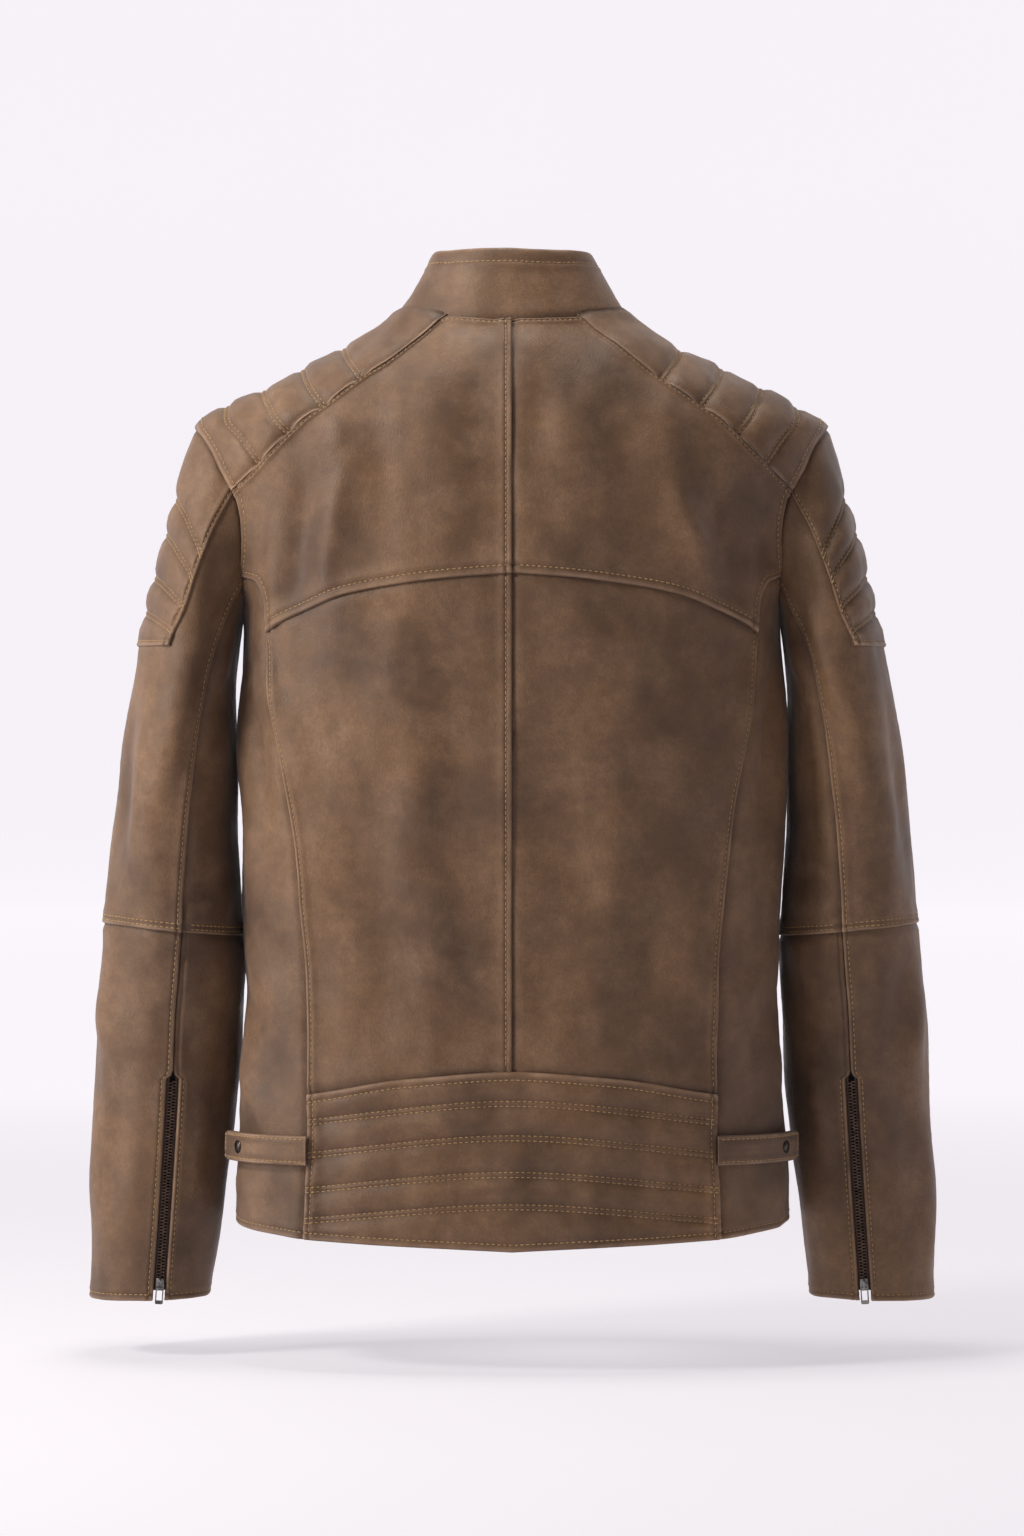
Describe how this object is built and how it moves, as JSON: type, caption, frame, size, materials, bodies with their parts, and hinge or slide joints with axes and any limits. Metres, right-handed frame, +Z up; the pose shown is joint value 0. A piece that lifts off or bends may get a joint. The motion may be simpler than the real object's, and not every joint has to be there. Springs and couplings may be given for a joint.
{
  "type": "leather riding jacket",
  "caption": "Leather riding jacket with a stand collar, quilted shoulders, sleeves and kidney panel, zipped front and cuffs, and waist straps, shaped as it hangs.",
  "frame": {"origin": "centre of the neck at the height of the back neck seam", "axes": "+X to the wearer's right, +Y to the wearer's front, +Z up"},
  "size_m": [0.6106, 0.2274, 0.7555],
  "materials": {
    "leather": "waxed, mottled brown, rubbed lighter along the seams",
    "lining": "fine dark twill",
    "wadding": "soft fleece",
    "zip_tape": "herringbone woven tape",
    "zip_teeth": "darkened",
    "zip_metal": "dull gunmetal",
    "snap_metal": "blackened"
  },
  "bodies": {
    "torso": {"back_yoke_right": "leather", "back_yoke_left": "leather", "back_panel_right": "leather", "back_panel_left": "leather", "side_panel_right": "leather", "side_panel_left": "leather", "shoulder_panel_right": "leather", "shoulder_panel_left": "leather", "front_panel_right": "leather", "front_panel_left": "leather", "kidney_panel": "leather", "collar_outer": "leather", "collar_lining": "leather", "shoulder_wadding_right": "wadding", "shoulder_wadding_left": "wadding", "kidney_wadding": "wadding", "back_lining": "lining", "front_lining_right": "lining", "front_lining_left": "lining", "hang_loop": "leather", "pocket_welt_right": "leather", "pocket_welt_left": "leather", "pocket_bag_right": "lining", "pocket_bag_left": "lining", "front_zip_tape": "zip_tape", "front_zip_chain": "zip_teeth", "waist_stud_right": "snap_metal", "waist_stud_left": "snap_metal"},
    "sleeve_upper_right": {"sleeve_patch_right": "leather", "sleeve_wadding_right": "wadding", "upper_sleeve_outer_right": "leather", "upper_sleeve_under_right": "leather", "upper_sleeve_lining_right": "lining"},
    "sleeve_upper_left": {"sleeve_patch_left": "leather", "sleeve_wadding_left": "wadding", "upper_sleeve_outer_left": "leather", "upper_sleeve_under_left": "leather", "upper_sleeve_lining_left": "lining"},
    "forearm_right": {"forearm_outer_right": "leather", "forearm_under_right": "leather", "forearm_lining_right": "lining", "cuff_zip_tape_right": "zip_tape", "cuff_zip_chain_right": "zip_teeth"},
    "forearm_left": {"forearm_outer_left": "leather", "forearm_under_left": "leather", "forearm_lining_left": "lining", "cuff_zip_tape_left": "zip_tape", "cuff_zip_chain_left": "zip_teeth"},
    "cuff_slider_right": {"cuff_zip_slider_right": "zip_metal"},
    "cuff_slider_left": {"cuff_zip_slider_left": "zip_metal"},
    "cuff_pull_right": {"cuff_zip_pull_right": "zip_metal"},
    "cuff_pull_left": {"cuff_zip_pull_left": "zip_metal"},
    "strap_right": {"waist_strap_right": "leather", "strap_snap_right": "snap_metal"},
    "strap_left": {"waist_strap_left": "leather", "strap_snap_left": "snap_metal"},
    "front_slider": {"front_zip_slider": "zip_metal"},
    "front_pull": {"front_zip_pull": "zip_metal"}
  },
  "joints": [
    {"name": "shoulder_right", "type": "hinge", "parent": "torso", "child": "sleeve_upper_right", "pos_m": [0.224, 0, -0.0735], "axis": [0, -1, 0], "range_deg": [0, 45]},
    {"name": "elbow_right", "type": "hinge", "parent": "sleeve_upper_right", "child": "forearm_right", "pos_m": [0, 0.0822, -0.4335], "axis": [1, 0, 0], "range_deg": [0, 50], "stiffness_Nm_per_rad": 0.05},
    {"name": "cuff_zip_right", "type": "slide", "parent": "forearm_right", "child": "cuff_slider_right", "axis": [-0.0718, -0.1531, 0.9856], "range_m": [0, 0.145]},
    {"name": "cuff_pull_right", "type": "hinge", "parent": "cuff_slider_right", "child": "cuff_pull_right", "pos_m": [0.25346, -0.00198, -0.69105], "axis": [-0.9945, 0.0865, -0.059], "range_deg": [0, 150]},
    {"name": "strap_right", "type": "hinge", "parent": "torso", "child": "strap_right", "pos_m": [0.148, -0.079, -0.5865], "axis": [0, 0, -1], "range_deg": [0, 80], "stiffness_Nm_per_rad": 0.01},
    {"name": "shoulder_left", "type": "hinge", "parent": "torso", "child": "sleeve_upper_left", "pos_m": [-0.224, 0, -0.0735], "axis": [0, 1, 0], "range_deg": [0, 45]},
    {"name": "elbow_left", "type": "hinge", "parent": "sleeve_upper_left", "child": "forearm_left", "pos_m": [0, 0.0822, -0.4335], "axis": [1, 0, 0], "range_deg": [0, 50], "stiffness_Nm_per_rad": 0.05},
    {"name": "cuff_zip_left", "type": "slide", "parent": "forearm_left", "child": "cuff_slider_left", "axis": [0.0718, -0.1531, 0.9856], "range_m": [0, 0.145]},
    {"name": "cuff_pull_left", "type": "hinge", "parent": "cuff_slider_left", "child": "cuff_pull_left", "pos_m": [-0.25346, -0.00198, -0.69105], "axis": [-0.9945, -0.0865, 0.059], "range_deg": [0, 150]},
    {"name": "strap_left", "type": "hinge", "parent": "torso", "child": "strap_left", "pos_m": [-0.148, -0.079, -0.5865], "axis": [0, 0, 1], "range_deg": [0, 80], "stiffness_Nm_per_rad": 0.01},
    {"name": "front_zip", "type": "slide", "parent": "torso", "child": "front_slider", "axis": [0, 0.0499, -0.9988], "range_m": [0, 0.54]},
    {"name": "front_pull", "type": "hinge", "parent": "front_slider", "child": "front_pull", "pos_m": [0, 0.09013, -0.07963], "axis": [1, 0, 0], "range_deg": [0, 150]}
  ]
}
